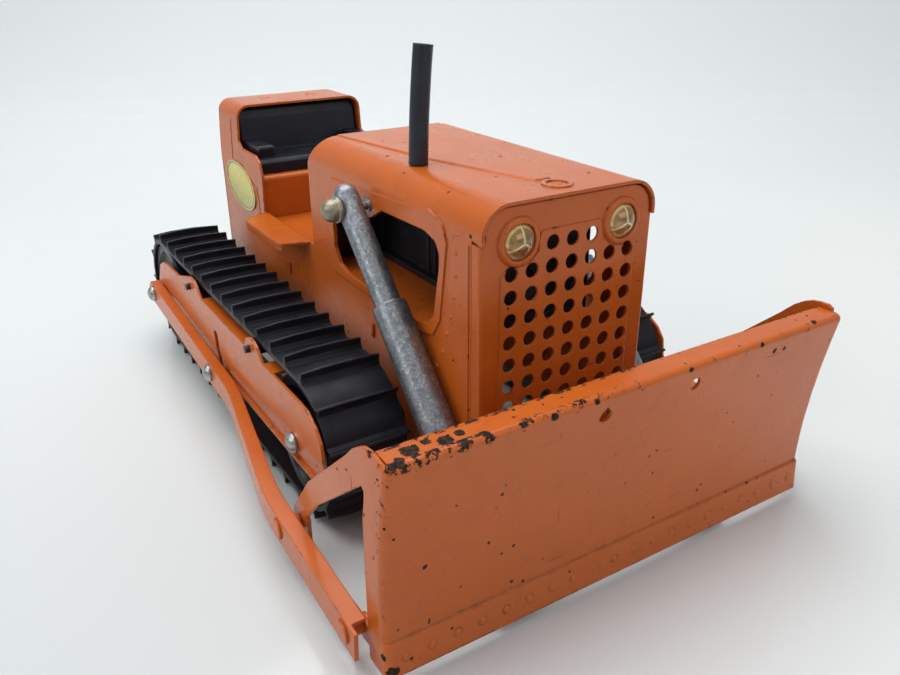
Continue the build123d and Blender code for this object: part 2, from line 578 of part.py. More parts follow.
# rear edge of the top flange
blade -= box(-BLADE_IN_HALF, BLADE_IN_HALF, -25.9, 0, BLADE_TOP - 3, BLADE_TOP + 3)
# open seams between the flange and the end plates
for side in SIDES:
    blade -= box(side * 70.45, side * 70.85, -31.6, 0, BLADE_TOP - 2, BLADE_TOP + 2)
for side in SIDES:
    rise = LEFT_PLATE_RISE if side > 0 else 0
    plate = [(y, z + rise) if z > 54 and y > -30 else (y, z) for y, z in END_PLATE]
    blade += yz(plate, side * BLADE_IN_HALF, side * BLADE_HALF)
    bend = Axis((side * BLADE_HALF, 6.6, 28.4), (0, 3.2, 5.6))
    blade += yz(BRACE_FOOT, side * BLADE_IN_HALF, side * BLADE_HALF).rotate(bend, side * 5.0)
# two round holes near the top and the row of raised dots on the cutting edge
for x in (-14.2, 15.0):
    blade -= cyl_y(1.75, -40, -20, x, 55.3)
blade = blade + [ball_bump((-66.5 + 7.0 * i, -28.95, 6.9), 1.15, 0.5, (0, -0.9962, 0.0872))
                 for i in range(20)]
for y, z in rivet_points:
    blade -= cyl_x(1.5, -80, -60, y, z)
    blade -= cyl_x(1.5, 60, 80, y, z)
blade = blade.clean()
out(blade, "blade")

# --------------------------------------------------------- cylinder brackets
# open-backed brackets behind the blade for the lower ends of the lift cylinders
BRACKET_HALF = 6.6
BRACKET_PROFILE = [    # (y, z)
    (-28.0, 3.4), (-13.0, 6.6), (LOW_Y + 5.0, LOW_Z - 4.6), (LOW_Y + 6.2, LOW_Z),
    (LOW_Y + 4.4, LOW_Z + 4.8), (-15.0, 24.0), (-28.0, 27.6),
]
bracket = yz(BRACKET_PROFILE, CYL_X - BRACKET_HALF, CYL_X + BRACKET_HALF)
bracket -= yz([(-26.0, 0), (0, 0), (0, 40), (-26.0, 40)],
              CYL_X - BRACKET_HALF + 1.0, CYL_X + BRACKET_HALF - 1.0)
# slotted pivot holes
pivot_slot = Pos(LOW_Y, LOW_Z) * Rot(0, 0, 150.6) * SlotOverall(5.3, 3.6)
bracket -= extrude(Plane.YZ.offset(CYL_X - 8) * pivot_slot, amount=16)
# trim to the back of the blade and keep the piece behind it
bracket -= blade
bracket = Part() + max(bracket.solids(), key=lambda solid: solid.volume)
out_pair(bracket, "cylinder_bracket")

# ---------------------------------------------------------------- arm rivets
# four rivets joining arms to blade: (y, z), inner seat, inner end of the spacer
HEAD_X = ARM_FRONT_X + 0.7
RIVETS = [
    (rivet_points[0], 68.45, 70.1),
    (rivet_points[1], BLADE_IN_HALF, BLADE_HALF + 0.01),
]
rivets = []
for side in SIDES:
    for (y, z), seat_x, spacer_x in RIVETS:
        rivet = cyl_x(1.46, side * (seat_x - 0.9), side * (ARM_FRONT_X + 0.3), y, z)
        rivet += cyl_x(3.0, side * ARM_FRONT_X, side * HEAD_X, y, z)
        head_edge = rivet.edges().filter_by(GeomType.CIRCLE).filter_by(
            lambda e: abs(abs(e.center().X) - HEAD_X) < 0.02)
        rivet = fillet(head_edge, 0.45)
        rivet += cyl_x(2.4, side * (seat_x - 0.9), side * (seat_x - 0.02), y, z)
        rivet += cyl_x(2.2, side * spacer_x, side * (ARM_FRONT_X - ARM_SHEET - 0.01), y, z)
        rivets.append(rivet)
out_group(rivets, "arm_rivets")

# -------------------------------------------------------------- guide rivets
# they run in the slots of the side frames
guide_y, guide_z = arm_point(GUIDE_DIST)
guides = []
for side in SIDES:
    guide = cyl_x(1.72, side * 59.6, side * (ARM_REAR_X + 0.3), guide_y, guide_z)
    guide += dome_head(side * (ARM_REAR_X + 0.01), side * (ARM_REAR_X + 2.3), 3.15,
                       guide_y, guide_z)
    guide += cyl_x(3.0, side * 59.6, side * 61.0, guide_y, guide_z)
    guide += cyl_x(2.5, side * 62.95, side * (ARM_REAR_X - ARM_SHEET - 0.01), guide_y, guide_z)
    guides.append(guide)
out_group(guides, "guide_rivets")

# --------------------------------------------------------------- side frames
EDGE_Z = 41.3          # level upper edge
BAND_Z = 28.3          # top of the slanting lower band
LIFT_MAX = 10.0        # degrees the blade frame lifts
SLOT_HALF = 2.0        # half-width of the guide slot
SLOT_STEPS = 16
FRAME_OUTLINE = [      # (y, z)
    (26.0, 20.6), (22.4, 24.2), (21.9, 28.4), (22.7, 34.4), (25.6, 38.0), (30.6, 40.8),
    (36.0, EDGE_Z), (64.6, EDGE_Z), (68.2, 45.0), (70.8, 46.0), (74.6, 46.0), (77.2, 45.0),
    (79.6, EDGE_Z), (126.2, EDGE_Z), (129.8, 44.4), (132.9, 46.0), (137.4, 46.0),
    (141.0, 45.2), (154.2, EDGE_Z), (170.0, 41.0), (177.2, 40.1), (183.2, 37.2),
    (188.2, 30.4), (189.6, 25.0), (188.6, 21.6), (186.0, 19.5), (27.5, 19.5),
]
BAND_SECTION = [       # (x, z)
    (FRAME_X, BAND_Z), (FRAME_IN_X, BAND_Z), (FRAME_IN_X - 0.85, 20.2),
    (FRAME_IN_X - 0.85, 19.2), (FRAME_X + 0.1, 19.2), (FRAME_X + 0.1, 20.1),
    (FRAME_X - 0.85, 20.2),
]
BAND_OUTLINE = [       # (y, z)
    (26.9, 19.0), (21.4, 24.6), (21.4, BAND_Z + 1), (190, BAND_Z + 1), (189.6, 25.0),
    (188.6, 21.6), (186.0, 19.0),
]
frame = yz(FRAME_OUTLINE, FRAME_IN_X, FRAME_X)
# lower band slants inwards and ends in a narrow lip
frame -= box(50, 70, 0, 200, 10, BAND_Z)
frame += xz(BAND_SECTION, 21.5, 190.0) & yz(BAND_OUTLINE, 50, 70)
# top flanges turned inwards
for y0, y1 in ((56.4, 64.0), (80.6, 125.6)):
    frame += box(FRAME_IN_X - 9.0, FRAME_X - 0.2, y0, y1, EDGE_Z - SHEET, EDGE_Z)
# slot in which the guide rivet travels, an arc about the rear axle
slot_start = ARM_SLOPE + 0.35
slot_end = ARM_SLOPE - LIFT_MAX - 0.3
slot_angles = [slot_start + (slot_end - slot_start) * i / SLOT_STEPS
               for i in range(SLOT_STEPS + 1)]
far_edge = [arm_point(GUIDE_DIST + SLOT_HALF, angle) for angle in slot_angles]
near_edge = [arm_point(GUIDE_DIST - SLOT_HALF, angle) for angle in slot_angles]
frame -= yz(far_edge + near_edge[::-1], 55, 70)
for angle in (slot_angles[0], slot_angles[-1]):
    frame -= cyl_x(SLOT_HALF, 55, 70, *arm_point(GUIDE_DIST, angle))
for y in AXLE_YS:
    frame -= cyl_x(AXLE_R, 50, 80, y, AXLE_Z)
for y in PEG_YS:
    frame -= cyl_x(PEG_PIN_R + 0.03, 50, 80, y, PEG_Z)
out_pair(frame.clean(), "side_frame")

# --------------------------------------------------------------------- axles
front_end = FRAME_X + 0.85
rear_end = ARM_REAR_X + 0.9
out(cyl_x(AXLE_R - 0.005, -front_end, front_end, FRONT_AXLE_Y, AXLE_Z), "front_axle")
out(cyl_x(AXLE_R - 0.005, -rear_end, rear_end, REAR_AXLE_Y, AXLE_Z), "rear_axle")

caps = []
for side in SIDES:
    for x, y in ((FRAME_X, FRONT_AXLE_Y), (ARM_REAR_X, REAR_AXLE_Y)):
        cap = dome_head(side * (x + 0.03), side * (x + 2.5), 3.2, y, AXLE_Z)
        cap -= cyl_x(AXLE_R, side * (x - 1), side * (x + 0.9), y, AXLE_Z)
        caps.append(cap)
out_group(caps, "axle_caps")

# spacer tubes between body and wheels, and between side frame and arm
spacers = []
for side in SIDES:
    for y in AXLE_YS:
        spacers.append(cyl_x(2.7, side * (BODY_HALF + 0.31), side * 37.4, y, AXLE_Z)
                       - cyl_x(AXLE_R, side * 20, side * 45, y, AXLE_Z))
    spacers.append(cyl_x(3.0, side * (FRAME_X + 0.01), side * (ARM_REAR_X - ARM_SHEET - 0.05),
                         REAR_AXLE_Y, AXLE_Z)
                   - cyl_x(AXLE_R, side * 50, side * 80, REAR_AXLE_Y, AXLE_Z))
out_group(spacers, "axle_spacers")

# -------------------------------------------------------------------- wheels
WHEEL_R = 19.7
WHEEL_X0 = 37.6        # inner end of the hub
HUB_LEN = TRACK_X1 - WHEEL_X0
BORE_R = AXLE_R + AXLE_CLEAR
WHEEL_PROFILE = [      # (radius, distance outwards from WHEEL_X0)
    (BORE_R, 0), (4.6, 0), (4.6, 3.4), (15.8, 4.6), (15.8, 0.9), (WHEEL_R - 0.5, 0.9),
    (WHEEL_R, 1.4), (WHEEL_R, 21.6), (WHEEL_R - 0.5, 22.1), (16.4, 22.1), (15.6, 20.4),
    (6.2, 19.4), (5.2, HUB_LEN), (BORE_R, HUB_LEN),
]


def make_wheel(y):
    wheel = revolve(Plane.XZ * polygon(WHEEL_PROFILE), Axis.Z)
    for k in range(5):
        wheel -= Rot(0, 0, 72 * k + 36) * Pos(11.0, 0, 12) * Cylinder(2.6, 30)
    return Pos(WHEEL_X0, y, AXLE_Z) * Rot(0, 90, 0) * wheel


out_pair(make_wheel(FRONT_AXLE_Y), "front_wheel")
out_pair(make_wheel(REAR_AXLE_Y), "rear_wheel")

# ---------------------------------------------- pegs holding up the top runs
PEG_R = 2.4
pegs = []
for side in SIDES:
    for y in PEG_YS:
        peg = cyl_x(PEG_PIN_R, side * 50.0, side * (FRAME_X + 1.5), y, PEG_Z)
        peg += cyl_x(PEG_R, side * 44.0, side * (FRAME_IN_X - 0.05), y, PEG_Z)
        pegs.append(peg)
out_group(pegs, "track_pegs")

# --------------------------------------------------------------- track belts
BELT_IN_R = 19.78
BELT_OUT_R = 21.2
RIB_END_H, RIB_MID_H = 3.1, 3.7
RIB_T = 0.75
RIB_COUNT = 37
RIB_ROOT = -0.6        # ribs are sunk this far into the belt
RIB_PHASE = 0.98       # first rib, in rib pitches from the top of the rear wheel
BELT_W = TRACK_X1 - TRACK_X0
WHEELBASE = REAR_AXLE_Y - FRONT_AXLE_Y
HALF_TURN = math.pi * BELT_OUT_R


def rib_location(d):
    """Place for a rib at distance d along the belt from the top of the rear wheel."""
    if d < WHEELBASE:                               # top run, rear to front
        y, z, turn = REAR_AXLE_Y - d, AXLE_Z + BELT_OUT_R, 0.0
    elif d < WHEELBASE + HALF_TURN:                 # round the front wheel
        t = (d - WHEELBASE) / BELT_OUT_R
        y = FRONT_AXLE_Y - BELT_OUT_R * math.sin(t)
        z = AXLE_Z + BELT_OUT_R * math.cos(t)
        turn = math.degrees(t)
    elif d < 2 * WHEELBASE + HALF_TURN:             # bottom run, front to rear
        y = FRONT_AXLE_Y + (d - WHEELBASE - HALF_TURN)
        z, turn = AXLE_Z - BELT_OUT_R, 180.0
    else:                                           # round the rear wheel
        t = (d - 2 * WHEELBASE - HALF_TURN) / BELT_OUT_R
        y = REAR_AXLE_Y + BELT_OUT_R * math.sin(t)
        z = AXLE_Z - BELT_OUT_R * math.cos(t)
        turn = 180.0 + math.degrees(t)
    return Pos((TRACK_X0 + TRACK_X1) / 2, y, z) * Rot(turn, 0, 0)


belt_face = (SlotCenterToCenter(WHEELBASE, 2 * BELT_OUT_R)
             - SlotCenterToCenter(WHEELBASE, 2 * BELT_IN_R))
belt_centre = Pos((FRONT_AXLE_Y + REAR_AXLE_Y) / 2, AXLE_Z)
belt = extrude(Plane.YZ.offset(TRACK_X0) * (belt_centre * belt_face), amount=BELT_W)
fin = polygon(symmetric([(BELT_W / 2, RIB_ROOT), (BELT_W / 2, RIB_END_H),
                         (BELT_W / 5, RIB_MID_H)]))
fin = extrude(Plane.XZ * fin, amount=RIB_T / 2, both=True)
# wedge thickening the root of the rib
wedge = yz([(-1.5, RIB_ROOT), (1.5, RIB_ROOT), (0.36, 1.3), (-0.36, 1.3)],
           -BELT_W / 2, BELT_W / 2)
rib = fin + wedge
belt_length = 2 * WHEELBASE + 2 * HALF_TURN
belt = belt + [rib_location((i + RIB_PHASE) * belt_length / RIB_COUNT) * rib
               for i in range(RIB_COUNT)]
out_pair(belt.clean(), "track_belt")

# ------------------------------------------------------------ lift cross pin
ROD_R = 3.8
PIN_END = CYL_X + ROD_R + 0.6
NUT_X = CYL_X + ROD_R + 0.04
cross_pin = cyl_x(PIN_R, -PIN_END, PIN_END, PIN_Y, PIN_Z)
# collars inside the body sides, bushes through them
for radius, x0, x1 in ((1.86, BODY_HALF - 1.9, BODY_HALF - 0.4),
                       (1.88, BODY_HALF - 0.6, BODY_HALF + 0.9)):
    cross_pin += cyl_x(radius, -x1, -x0, PIN_Y, PIN_Z) + cyl_x(radius, x0, x1, PIN_Y, PIN_Z)
out(cross_pin, "lift_cross_pin")

nuts = []
for side in SIDES:
    nut = dome_head(side * NUT_X, side * (CYL_X + ROD_R + 5.2), 3.4, PIN_Y, PIN_Z)
    nut += cyl_x(3.75, side * NUT_X, side * (CYL_X + ROD_R + 1.0), PIN_Y, PIN_Z)
    nut -= cyl_x(PIN_R, side * 30, side * PIN_END, PIN_Y, PIN_Z)
    nuts.append(nut)
out_group(nuts, "cap_nuts")

# ----------------------------------------------------------- lift cylinders
ROD_END = 62.0         # cross pin to the rod's lower end
ROD_BACK = 3.6         # rod beyond the cross pin, before its rounded end
SLEEVE_IN_R = 3.88
SLEEVE_R = 5.0
SLEEVE_TOP = 31.6      # cross pin to sleeve mouth
SLEEVE_LEN = CYL_LEN - SLEEVE_TOP


def along_cyl(part):
    """Place a part drawn along +Z from the cross pin along the cylinder axis."""
    return Pos(CYL_X, PIN_Y, PIN_Z) * Rot(90 + CYL_ANGLE, 0, 0) * part


rod = Pos(0, 0, -ROD_BACK) * Cylinder(ROD_R, ROD_END + ROD_BACK, align=BOTTOM_UP)
rod += Pos(0, 0, -ROD_BACK) * (Sphere(ROD_R) & Pos(0, 0, -5) * Box(20, 20, 10))
rod = along_cyl(rod)
rod -= cyl_x(PIN_R + AXLE_CLEAR, 20, 50, PIN_Y, PIN_Z)
out_pair(rod, "lift_rod")

sleeve = Pos(0, 0, SLEEVE_TOP) * Cylinder(SLEEVE_R, SLEEVE_LEN - 9.0, align=BOTTOM_UP)
mouth_edge = sleeve.edges().filter_by(GeomType.CIRCLE).sort_by(Axis.Z)[0]
sleeve = fillet(mouth_edge, 0.35)
# flattened lug at the lower pin
sleeve += Pos(0, 0, CYL_LEN - 9.5) * (Cylinder(4.9, 14.0, align=BOTTOM_UP)
                                      & Pos(0, 0, 7) * Box(7.0, 12, 20))
sleeve -= Pos(0, 0, SLEEVE_TOP - 1) * Cylinder(SLEEVE_IN_R, SLEEVE_LEN - 10.0, align=BOTTOM_UP)
sleeve = along_cyl(sleeve)
sleeve -= cyl_x(1.6, 20, 50, LOW_Y, LOW_Z)
out_pair(sleeve, "lift_sleeve")

lower_pin = cyl_x(1.59, CYL_X - 7.4, CYL_X + 7.4, LOW_Y, LOW_Z)
lower_pin += (cyl_x(2.6, CYL_X + 6.8, CYL_X + 7.8, LOW_Y, LOW_Z)
              + cyl_x(2.6, CYL_X - 7.8, CYL_X - 6.8, LOW_Y, LOW_Z))
out_pair(lower_pin, "lower_pin")
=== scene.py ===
"""Looks, floor, lights and camera for a toy tracked dozer built from CAD pieces.

The frame is in metres, +Z up. The blade faces -Y and the tracks run along Y. Places on the
model are in mm, with y counted from the grille.
"""
import json
import math
from functools import reduce

import bmesh
import bpy
from mathutils import Matrix, Vector

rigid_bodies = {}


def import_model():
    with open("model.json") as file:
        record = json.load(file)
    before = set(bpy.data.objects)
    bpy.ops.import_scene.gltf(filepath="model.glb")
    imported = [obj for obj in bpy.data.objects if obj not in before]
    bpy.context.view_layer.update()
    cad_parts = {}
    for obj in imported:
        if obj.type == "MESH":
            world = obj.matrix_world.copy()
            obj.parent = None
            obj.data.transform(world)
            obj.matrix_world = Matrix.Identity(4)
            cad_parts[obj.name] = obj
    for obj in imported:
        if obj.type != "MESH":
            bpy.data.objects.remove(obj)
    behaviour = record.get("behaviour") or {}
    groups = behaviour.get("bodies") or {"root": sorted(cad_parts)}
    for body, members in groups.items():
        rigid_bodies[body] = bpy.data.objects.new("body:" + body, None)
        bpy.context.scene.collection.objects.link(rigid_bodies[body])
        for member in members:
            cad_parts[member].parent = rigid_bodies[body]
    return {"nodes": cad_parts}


MM = 0.001
GRILLE_Y = -88.0    # mm: the frame's origin is 88 mm behind the grille

for old in list(bpy.data.objects):
    bpy.data.objects.remove(old)

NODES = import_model()["nodes"]
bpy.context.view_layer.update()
scene = bpy.context.scene


def frame_y(y):
    """Metres along the frame's Y for a y in mm from the grille."""
    return (y + GRILLE_Y) * MM


# ----------------------------------------------------------- node-tree helpers
class Signal:
    """A node's output. Arithmetic on it adds Math nodes."""

    def __init__(self, net, socket):
        self.net = net
        self.socket = socket

    def __add__(self, other):
        return self.net.math("ADD", self, other)

    def __sub__(self, other):
        return self.net.math("SUBTRACT", self, other)

    def __rsub__(self, other):
        return self.net.math("SUBTRACT", other, self)

    def __mul__(self, other):
        return self.net.math("MULTIPLY", self, other)

    def __truediv__(self, other):
        return self.net.math("DIVIDE", self, other)

    def __abs__(self):
        return self.net.math("ABSOLUTE", self)

    def max(self, other):
        return self.net.math("MAXIMUM", self, other)

    def length(self, other):
        """Length of the vector with self and other as its sides."""
        return self.net.math("SQRT", self * self + other * other)

    def ramp(self, lo, hi, to=(0, 1), kind="SMOOTHSTEP"):
        """to[0] below lo, to[1] above hi, and a ramp between."""
        return self.net.add("ShaderNodeMapRange", {
            "Value": self, "From Min": lo, "From Max": hi, "To Min": to[0], "To Max": to[1],
        }, interpolation_type=kind)

    def fall(self, lo, hi):
        """1 below lo, 0 above hi."""
        return self.ramp(lo, hi, to=(1, 0))


class Net:
    """A material's node tree. Texture scales are per metre, bevels and bumps in metres."""

    SHADER_INPUTS = {
        "color": "Base Color", "rough": "Roughness", "metal": "Metallic", "normal": "Normal",
        "coat": "Coat Weight", "coat_rough": "Coat Roughness", "coat_normal": "Coat Normal",
        "ior": "IOR", "trans": "Transmission Weight", "spec": "Specular IOR Level",
        "glow": "Emission Color", "glow_strength": "Emission Strength"}

    def __init__(self, name):
        self.material = bpy.data.materials.new(name)
        self.material.use_nodes = True
        self.tree = self.material.node_tree
        self.tree.nodes.clear()
        output = self.tree.nodes.new("ShaderNodeOutputMaterial")
        self.shader = self.tree.nodes.new("ShaderNodeBsdfPrincipled")
        self.tree.links.new(self.shader.outputs[0], output.inputs[0])
        self.coords = self.add("ShaderNodeTexCoord", out="Object")

    def add(self, kind, inputs=None, out=0, **settings):
        """Adds a node, fills its inputs by name or index, and gives one output."""
        node = self.tree.nodes.new(kind)
        for key, value in settings.items():
            setattr(node, key, value)
        for key, value in (inputs or {}).items():
            self.put(node.inputs[key], value)
        return Signal(self, node.outputs[out])

    def put(self, socket, value):
        if isinstance(value, Signal):
            self.tree.links.new(value.socket, socket)
        elif socket.type == "RGBA":
            socket.default_value = (*value, 1.0)
        else:
            socket.default_value = value

    def noise(self, scale, detail=4, rough=0.55, dist=0, vector=None):
        return self.add("ShaderNodeTexNoise", {
            "Scale": scale, "Detail": detail, "Roughness": rough, "Distortion": dist,
            "Vector": vector or self.coords}, out="Fac")

    def cells(self, scale, out="Distance"):
        return self.add("ShaderNodeTexVoronoi", {"Scale": scale, "Vector": self.coords}, out=out)

    def place(self, scale=(1, 1, 1), turn=(0, 0, 0), shift=(0, 0, 0), vector=None):
        return self.add("ShaderNodeMapping", {
            "Scale": scale, "Rotation": turn, "Location": shift,
            "Vector": vector or self.coords})

    def math(self, operation, first, second=0.0):
        return self.add("ShaderNodeMath", {0: first, 1: second, 2: 0.0}, operation=operation)

    def mix(self, factor, under, over):
        """Colour: under where factor is 0, over where it is 1."""
        return self.add("ShaderNodeMix", {0: factor, 6: under, 7: over}, out=2,
                        data_type="RGBA")

    def blend(self, factor, under, over):
        """The same as mix, for plain numbers."""
        return self.add("ShaderNodeMix", {0: factor, 2: under, 3: over}, data_type="FLOAT")

    def xyz(self, vector=None):
        split = self.add("ShaderNodeSeparateXYZ", {0: vector or self.coords})
        return [Signal(self, socket) for socket in split.socket.node.outputs]

    def bevel(self, radius):
        return self.add("ShaderNodeBevel", {"Radius": radius}, samples=6)

    def edges(self, radius):
        """1 on a sharp edge, 0 on the flat, from the rounded normal against the true one."""
        true_normal = self.add("ShaderNodeNewGeometry", out="Normal")
        dot = self.add("ShaderNodeVectorMath", {0: self.bevel(radius), 1: true_normal},
                       out="Value", operation="DOT_PRODUCT")
        return dot.fall(0.90, 0.985)

    def bump(self, height, strength, distance, bevel=None):
        inputs = {"Strength": strength, "Distance": distance, "Height": height}
        if bevel is not None:
            inputs["Normal"] = self.bevel(bevel)
        return self.add("ShaderNodeBump", inputs)

    def near(self, x, y, z, radius, soft):
        """1 inside a ball (mm), falling to 0 over its outer part, soft of the radius."""
        distance = self.add("ShaderNodeVectorMath",
                            {0: self.coords, 1: (x * MM, frame_y(y), z * MM)},
                            out="Value", operation="DISTANCE")
        return distance.fall(radius * MM * (1 - soft), radius * MM)

    def finish(self, **values):
        for key, value in values.items():
            self.put(self.shader.inputs[self.SHADER_INPUTS[key]], value)
        return self.material


def strongest(signals):
    return reduce(Signal.max, signals)


def scaled(color, factor):
    return tuple(channel * factor for channel in color)


# --------------------------------------------------------------- orange enamel
# Chipped patches: x, y, z, radius, in mm
BODY_SPOTS = [
    (-20, 60, 99.5, 1.6), (6, 40, 99.5, 1.2), (-8, 22, 99.5, 1.1), (22.5, 64, 98.5, 1.3),
    (-12, 78, 99.5, 0.9), (15, 12, 99.4, 1.2), (27.6, 10, 93, 1.3), (-27.6, 4, 91, 1.2)]
BLADE_SPOTS = [
    (-64.5, -29.3, 61.4, 4.6), (-60, -28, 61.4, 3), (-56.2, -30.2, 61.4, 4.4),
    (-52, -29.2, 61.4, 2.4), (-48, -31.8, 61.4, 2.2), (-68, -31.5, 61.4, 2.6),
    (-71.8, -27.5, 8, 2), (-71.6, -28.5, 15, 1.6), (-70, -28.6, 4, 3), (-30, -33.4, 60.4, 2),
    (-18, -33.4, 60.6, 1.6), (12, -33.4, 60.6, 1.6), (38, -33.4, 60.6, 1.6),
    (44, -33.2, 57, 2), (48, -33, 56.6, 1.5), (60, -32, 61.2, 1.8), (-71.5, -30.5, 45, 1.4),
    (-14.2, -33, 57.2, 1.1), (15, -33, 53.2, 1.1), (-61, -29, 30, 1.5),
    (-33, -28.2, 12.5, 1.2), (-2, -29, 30, 1.1), (5, -29.6, 36, 1), (-40, -28.6, 24, 0.9),
    (-36.5, -28.6, 25, 0.9)]
# Worn bends along X: y, z, radius, x with most wear, x with least, in mm
BLADE_BENDS = [
    (-33.2, 60.6, 1.7, -74, -8), (-32.6, 61.4, 1.6, -80, 30),
    (-25.9, 61.4, 1.3, -90, 60), (-28.6, 1.9, 1.2, -60, 90)]
CREASE_Z = 11.75                # mm, crease above the cutting edge
DOT_X, DOT_Z = -66.5, 6.95      # mm, centre of one pressed dot on the cutting edge
DOT_PITCH = 7.0


def spot_chips(net, mask, spots):
    for x, y, z, radius in spots:
        jitter = (net.noise(scale=340, detail=7, rough=0.74) - 0.5) * 2.1
        ragged = (net.near(x, y, z, radius, soft=0.95) + jitter).ramp(0.56, 0.60)
        mask = mask.max(ragged * net.near(x, y, z, radius * 1.5, soft=0.1))
    return mask


def blade_chips(net, mask, position):
    """Broken lines of chips along the bends, and a bitten -X end."""
    across, depth, height = position
    for y, z, radius, most_x, least_x in BLADE_BENDS:
        distance = (depth - frame_y(y)).length(height - z * MM)
        wear = across.ramp(most_x * MM, least_x * MM, to=(0.105, -0.04), kind="LINEAR")
        bite = (net.noise(scale=330, detail=6, rough=0.72) + wear).ramp(0.575, 0.60)
        mask = mask.max(bite * distance.fall(radius * MM * 0.6, radius * MM))
    end = across.fall(-0.0714, -0.0706) * depth.fall(frame_y(-28), frame_y(-26.6))
    bitten = net.noise(scale=420, detail=6, rough=0.72).ramp(0.575, 0.60)
    return mask.max(end * bitten)


def blade_grime_and_shade(net, base, position):
    """Grime and painted shade in the crease and round the pressed dots of the cutting edge."""
    across, depth, height = position
    front = depth.fall(frame_y(-27.6), frame_y(-27.2))
    grit = net.noise(scale=500, rough=0.7).ramp(0.35, 0.60, to=(0.25, 1))
    crease = abs(height - CREASE_Z * MM).fall(0.00008, 0.00042)
    pitches = (across - DOT_X * MM) if False else (across + -DOT_X * MM)
    repeat = net.math("FRACT", pitches / (DOT_PITCH * MM) + 10.5)
    distance = ((repeat - 0.5) * (DOT_PITCH * MM)).length(height - DOT_Z * MM)
    ring = distance.ramp(0.00085, 0.00115) * distance.fall(0.00120, 0.00165)
    ring = ring * net.noise(scale=260, rough=0.7).ramp(0.42, 0.60)
    # Painted shade with grime: the crease and the rings round the dots are darkened, broken up by
    # grit noise.
    dirt_and_shade = (crease * 0.6).max(ring) * front * grit
    return net.mix(dirt_and_shade * 0.72, base, over=(0.10, 0.024, 0.006))


def scratches(net):
    """Short hairlines in two directions for each angle, in loose groups."""
    lines = []
    for angle, offset in ((0.5, 0), (-0.9, 0.7)):
        shift = (offset, 0, 0)
        for vector in (
                net.place(scale=(60, 1300, 1300), turn=(angle * 0.6, angle * 0.3, angle),
                          shift=shift),
                net.place(scale=(900, 900, 46), turn=(angle * 0.5, angle, 0.2), shift=shift)):
            line = net.noise(scale=1, detail=1, rough=0.4, vector=vector)
            lines.append(line.ramp(0.765, 0.79))
    return strongest(lines) * net.noise(scale=34, detail=2).ramp(0.50, 0.60, to=(0, 0.8))


def orange_paint(name, wear, speck, spots=(), blade=False):
    """Stove enamel on sheet steel: orange peel, specks, hairlines, and chips down to dark
    primer. wear and speck, 0 to 1, set how much is chipped and how much is specked."""
    net = Net(name)
    base = net.mix(net.noise(scale=22, detail=3, rough=0.5).ramp(0.35, 0.7),
                   under=(0.525, 0.107, 0.0115), over=(0.570, 0.121, 0.0145))
    base = net.mix(net.noise(scale=160, detail=5, rough=0.6).ramp(0.45, 0.75, to=(0, 0.30)),
                   base, over=(0.41, 0.078, 0.0085))
    film = net.noise(scale=75, detail=6, rough=0.65, dist=0.4).ramp(0.55, 0.80) * 0.14
    base = net.mix(film, base, over=(0.24, 0.062, 0.018))
    dots = net.cells(scale=560).fall(0.05, 0.13) * net.noise(scale=80, detail=2).ramp(
        0.60 - 0.10 * speck, 0.66 - 0.10 * speck)

    # a broken line of chips along the sheet's edges
    edge = net.edges(radius=0.0009)
    chip = net.noise(scale=560, detail=5, rough=0.70).ramp(0.54, 0.58) * net.noise(
        scale=70, detail=3, rough=0.6).ramp(0.62 - 0.22 * wear, 0.68 - 0.18 * wear)
    # small ragged chips in loose groups on open faces
    ragged = net.cells(scale=230) + (net.noise(scale=900, detail=3, rough=0.6) - 0.5) * 0.35
    loose = ragged.fall(0.075, 0.105) * net.noise(scale=52, detail=2).ramp(
        0.60 - 0.12 * wear, 0.63 - 0.12 * wear)
    mask = spot_chips(net, (chip * edge).max(loose), spots)
    if blade:
        position = net.xyz()
        mask = blade_chips(net, mask, position)
        # grime and painted shade in the blade's crease and round its pressed dots
        base = blade_grime_and_shade(net, base, position)

    scratch = scratches(net)
    base = net.mix(scratch * 0.75, base, over=(0.12, 0.030, 0.010))
    base = net.mix(dots * 0.85, base, over=(0.10, 0.030, 0.012))
    bare = net.mix(net.noise(scale=800, detail=3).ramp(0.42, 0.60),
                   under=(0.016, 0.009, 0.007), over=(0.052, 0.028, 0.020))
    gloss = net.noise(scale=48, rough=0.6).ramp(0.3, 0.8, to=(0.26, 0.34)) + scratch * 0.2
    peel = net.noise(scale=620, detail=2, rough=0.5) * 0.30 + net.noise(scale=60, detail=1) * 0.08
    height = peel - (mask * 1.2 + scratch * 0.25)
    normal = net.bump(height, strength=0.20, distance=0.00020, bevel=0.0005)
    return net.finish(
        color=net.mix(mask, base, bare), rough=net.blend(mask, gloss, over=0.62),
        normal=normal, coat=net.blend(mask, under=0.14, over=0), coat_rough=0.14,
        coat_normal=normal, spec=net.blend(mask, under=0.34, over=0.12))


